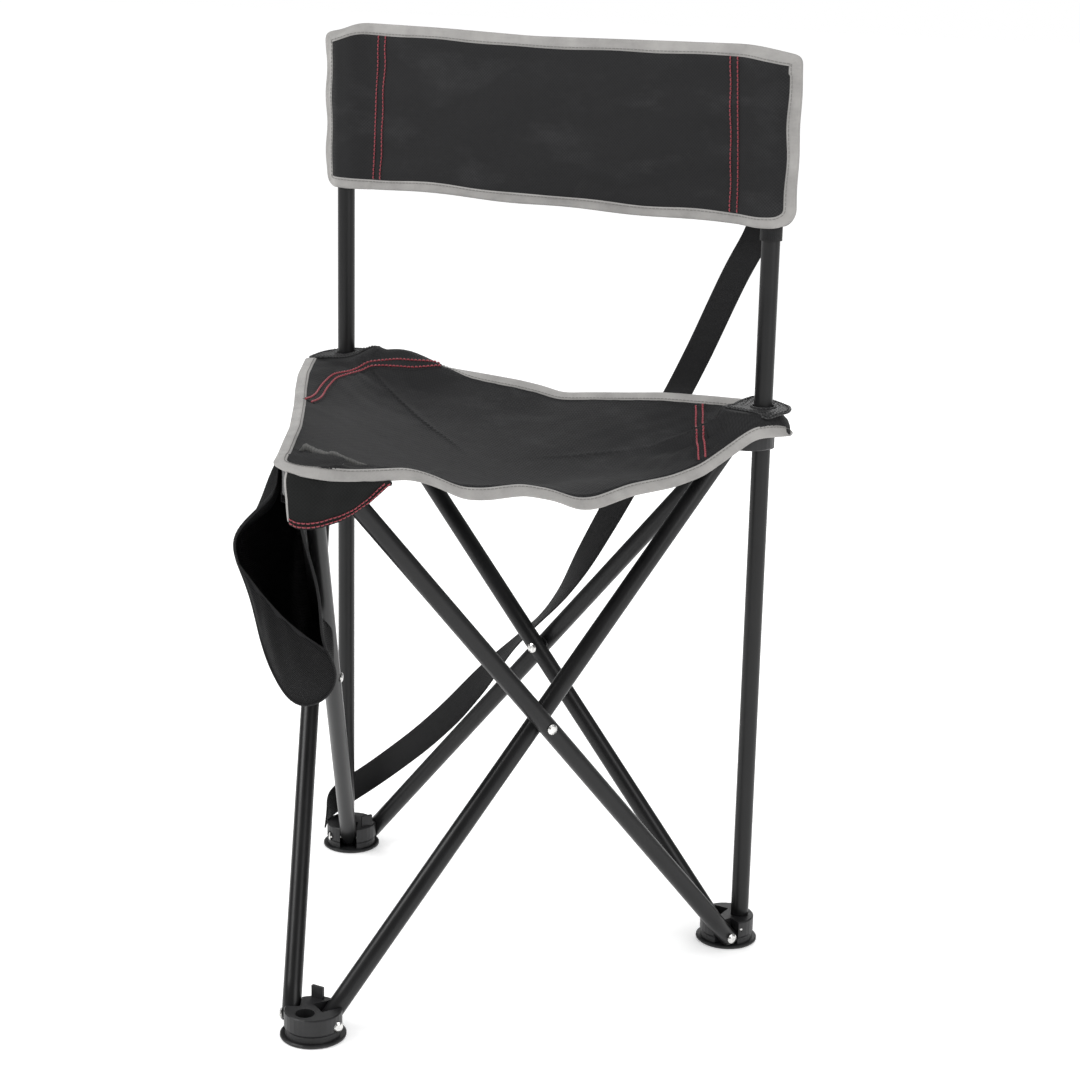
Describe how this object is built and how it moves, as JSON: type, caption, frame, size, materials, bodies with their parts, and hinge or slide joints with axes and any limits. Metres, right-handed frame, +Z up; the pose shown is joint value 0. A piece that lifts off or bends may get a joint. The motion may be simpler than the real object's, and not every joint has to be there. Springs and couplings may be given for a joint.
{
  "type": "folding three-leg stool with backrest",
  "caption": "Folding tripod stool: crossed tube legs in three pairs, moulded feet, two uprights with a sewn backrest, a sagging three-cornered cloth seat, net pocket and carry strap.",
  "frame": {"origin": "centre of the outer box in plan, on the floor", "axes": "+Z up, -Y towards the front foot, +X to the sitter's left (right as seen from the front)"},
  "size_m": [0.4764, 0.4258, 0.802],
  "materials": {
    "tube_paint": "semi-gloss black powder coat",
    "moulded_plastic": "matte black moulding with fine texture",
    "bright_rivet": "bright plated steel",
    "seat_cloth": "charcoal coated plain weave with light grey binding and red seams",
    "webbing": "black ribbed webbing",
    "net": "black open net"
  },
  "bodies": {
    "rear_right": {"foot_rear_right": "moulded_plastic", "upright_right": "tube_paint", "upright_cap_right": "moulded_plastic", "upright_pin_right": "bright_rivet", "foot_rivet_right_right_side": "bright_rivet", "foot_rivet_right_rear_side": "bright_rivet", "backrest_fabric": "seat_cloth", "carry_strap": "webbing"},
    "leg_right_to_front": {"leg_right_to_front": "tube_paint", "cross_rivet_right": "bright_rivet", "cross_spacer_right": "moulded_plastic"},
    "leg_front_to_right": {"leg_front_to_right": "tube_paint"},
    "front_foot": {"foot_front": "moulded_plastic", "foot_rivet_front_right_side": "bright_rivet", "foot_rivet_front_left_side": "bright_rivet"},
    "front_bracket": {"front_bracket": "moulded_plastic", "top_rivet_front_right_side": "bright_rivet", "top_rivet_front_left_side": "bright_rivet", "front_corner_pocket": "seat_cloth", "mesh_pocket": "net"},
    "slider_right": {"slider_right": "moulded_plastic", "top_rivet_right_right_side": "bright_rivet", "top_rivet_right_rear_side": "bright_rivet", "seat_patch_right": "seat_cloth", "seat_fabric": "seat_cloth"},
    "leg_right_to_left": {"leg_right_to_left": "tube_paint"},
    "leg_left_to_right": {"leg_left_to_right": "tube_paint", "cross_rivet_rear": "bright_rivet", "cross_spacer_rear": "moulded_plastic"},
    "rear_left": {"foot_rear_left": "moulded_plastic", "upright_left": "tube_paint", "upright_cap_left": "moulded_plastic", "upright_pin_left": "bright_rivet", "foot_rivet_left_rear_side": "bright_rivet", "foot_rivet_left_left_side": "bright_rivet"},
    "slider_left": {"slider_left": "moulded_plastic", "top_rivet_left_rear_side": "bright_rivet", "top_rivet_left_left_side": "bright_rivet", "seat_patch_left": "seat_cloth"},
    "leg_left_to_front": {"leg_left_to_front": "tube_paint"},
    "leg_front_to_left": {"leg_front_to_left": "tube_paint", "cross_rivet_left": "bright_rivet", "cross_spacer_left": "moulded_plastic"}
  },
  "joints": [
    {"name": "fold", "type": "hinge", "parent": "rear_right", "child": "leg_right_to_front", "pos_m": [0.21837, 0.16065, 0.0125], "axis": [-0.866, 0.5, 0], "range_deg": [0, 36], "deforming": ["seat_fabric", "backrest_fabric", "carry_strap", "mesh_pocket"]},
    {"name": "right_pair_cross", "type": "hinge", "parent": "leg_right_to_front", "child": "leg_front_to_right", "pos_m": [0.11318, -0.00355, 0.2439], "axis": [0.866, -0.5, 0], "range_deg": [0, 72]},
    {"name": "front_foot_pivot", "type": "hinge", "parent": "leg_front_to_right", "child": "front_foot", "pos_m": [0.00799, -0.16775, 0.0125], "axis": [-0.866, 0.5, 0], "range_deg": [0, 36]},
    {"name": "front_bracket_pivot", "type": "hinge", "parent": "leg_right_to_front", "child": "front_bracket", "pos_m": [0.02357, -0.17675, 0.4753], "axis": [0.866, -0.5, 0], "range_deg": [0, 36]},
    {"name": "slider_right_pivot", "type": "hinge", "parent": "leg_front_to_right", "child": "slider_right", "pos_m": [0.20279, 0.16965, 0.4753], "axis": [-0.866, 0.5, 0], "range_deg": [0, 36]},
    {"name": "rear_leg_foot_pivot", "type": "hinge", "parent": "rear_right", "child": "leg_right_to_left", "pos_m": [0.1948, 0.18348, 0.0125], "axis": [0, 1, 0], "range_deg": [0, 36]},
    {"name": "rear_pair_cross", "type": "hinge", "parent": "leg_right_to_left", "child": "leg_left_to_right", "pos_m": [0, 0.19248, 0.2439], "axis": [0, -1, 0], "range_deg": [0, 72]},
    {"name": "rear_left_foot_pivot", "type": "hinge", "parent": "leg_left_to_right", "child": "rear_left", "pos_m": [-0.1948, 0.20148, 0.0125], "axis": [0, 1, 0], "range_deg": [0, 36]},
    {"name": "slider_left_pivot", "type": "hinge", "parent": "leg_right_to_left", "child": "slider_left", "pos_m": [-0.1948, 0.18348, 0.4753], "axis": [0, -1, 0], "range_deg": [0, 36]},
    {"name": "left_leg_foot_pivot", "type": "hinge", "parent": "rear_left", "child": "leg_left_to_front", "pos_m": [-0.20279, 0.16965, 0.0125], "axis": [-0.866, -0.5, 0], "range_deg": [0, 36]},
    {"name": "left_pair_cross", "type": "hinge", "parent": "leg_left_to_front", "child": "leg_front_to_left", "pos_m": [-0.11318, -0.00355, 0.2439], "axis": [0.866, 0.5, 0], "range_deg": [0, 72]}
  ],
  "couplings": [
    {"joint": "right_pair_cross", "follows": "fold", "ratio": 2},
    {"joint": "front_foot_pivot", "follows": "fold", "ratio": 1},
    {"joint": "front_bracket_pivot", "follows": "fold", "ratio": 1},
    {"joint": "slider_right_pivot", "follows": "fold", "ratio": 1},
    {"joint": "rear_leg_foot_pivot", "follows": "fold", "ratio": 1},
    {"joint": "rear_pair_cross", "follows": "fold", "ratio": 2},
    {"joint": "rear_left_foot_pivot", "follows": "fold", "ratio": 1},
    {"joint": "slider_left_pivot", "follows": "fold", "ratio": 1},
    {"joint": "left_leg_foot_pivot", "follows": "fold", "ratio": 1},
    {"joint": "left_pair_cross", "follows": "fold", "ratio": 2}
  ]
}
